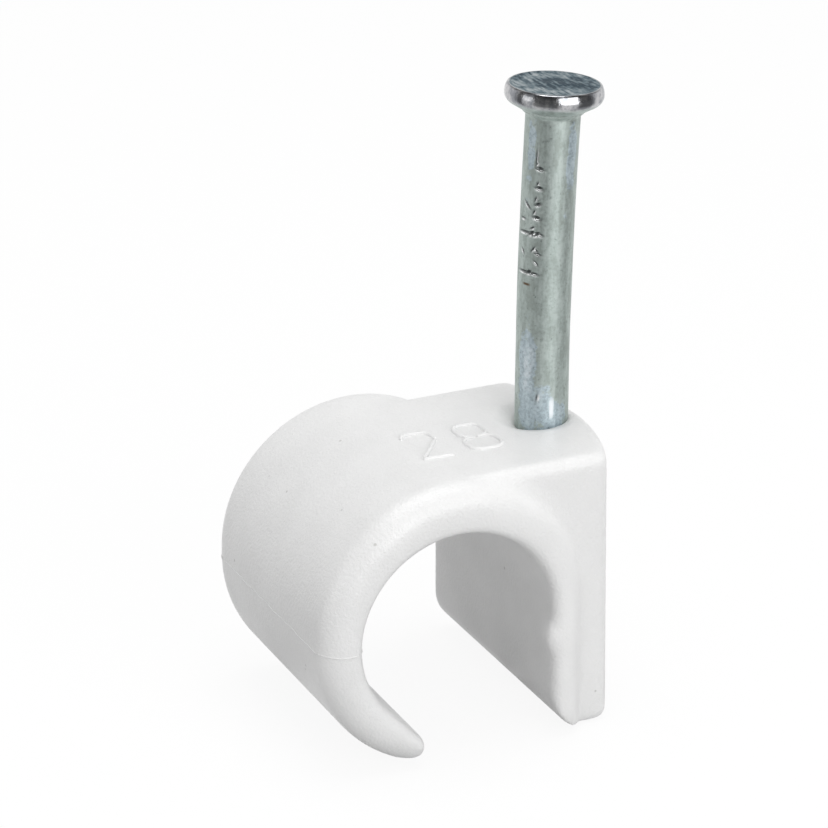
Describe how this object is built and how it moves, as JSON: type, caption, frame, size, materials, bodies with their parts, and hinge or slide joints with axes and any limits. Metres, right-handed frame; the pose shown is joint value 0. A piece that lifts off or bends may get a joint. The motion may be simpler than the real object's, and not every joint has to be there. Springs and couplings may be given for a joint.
{
  "type": "nail-in cable clip",
  "caption": "Moulded plastic saddle that hooks over a round cable, with a wire nail held ready in a tower at its side.",
  "frame": {"origin": "on the cable's axis, halfway along the saddle", "axes": "+Y along the cable, +Z away from the wall, +X from the hook towards the nail"},
  "size_m": [0.0132, 0.0104, 0.0238],
  "materials": {
    "clip_plastic": "semi-gloss off-white moulded plastic",
    "nail_steel": "dull zinc plating with wire-drawing and grip marks"
  },
  "bodies": {
    "root": {"clip_body": "clip_plastic", "nail": "nail_steel"}
  },
  "joints": []
}
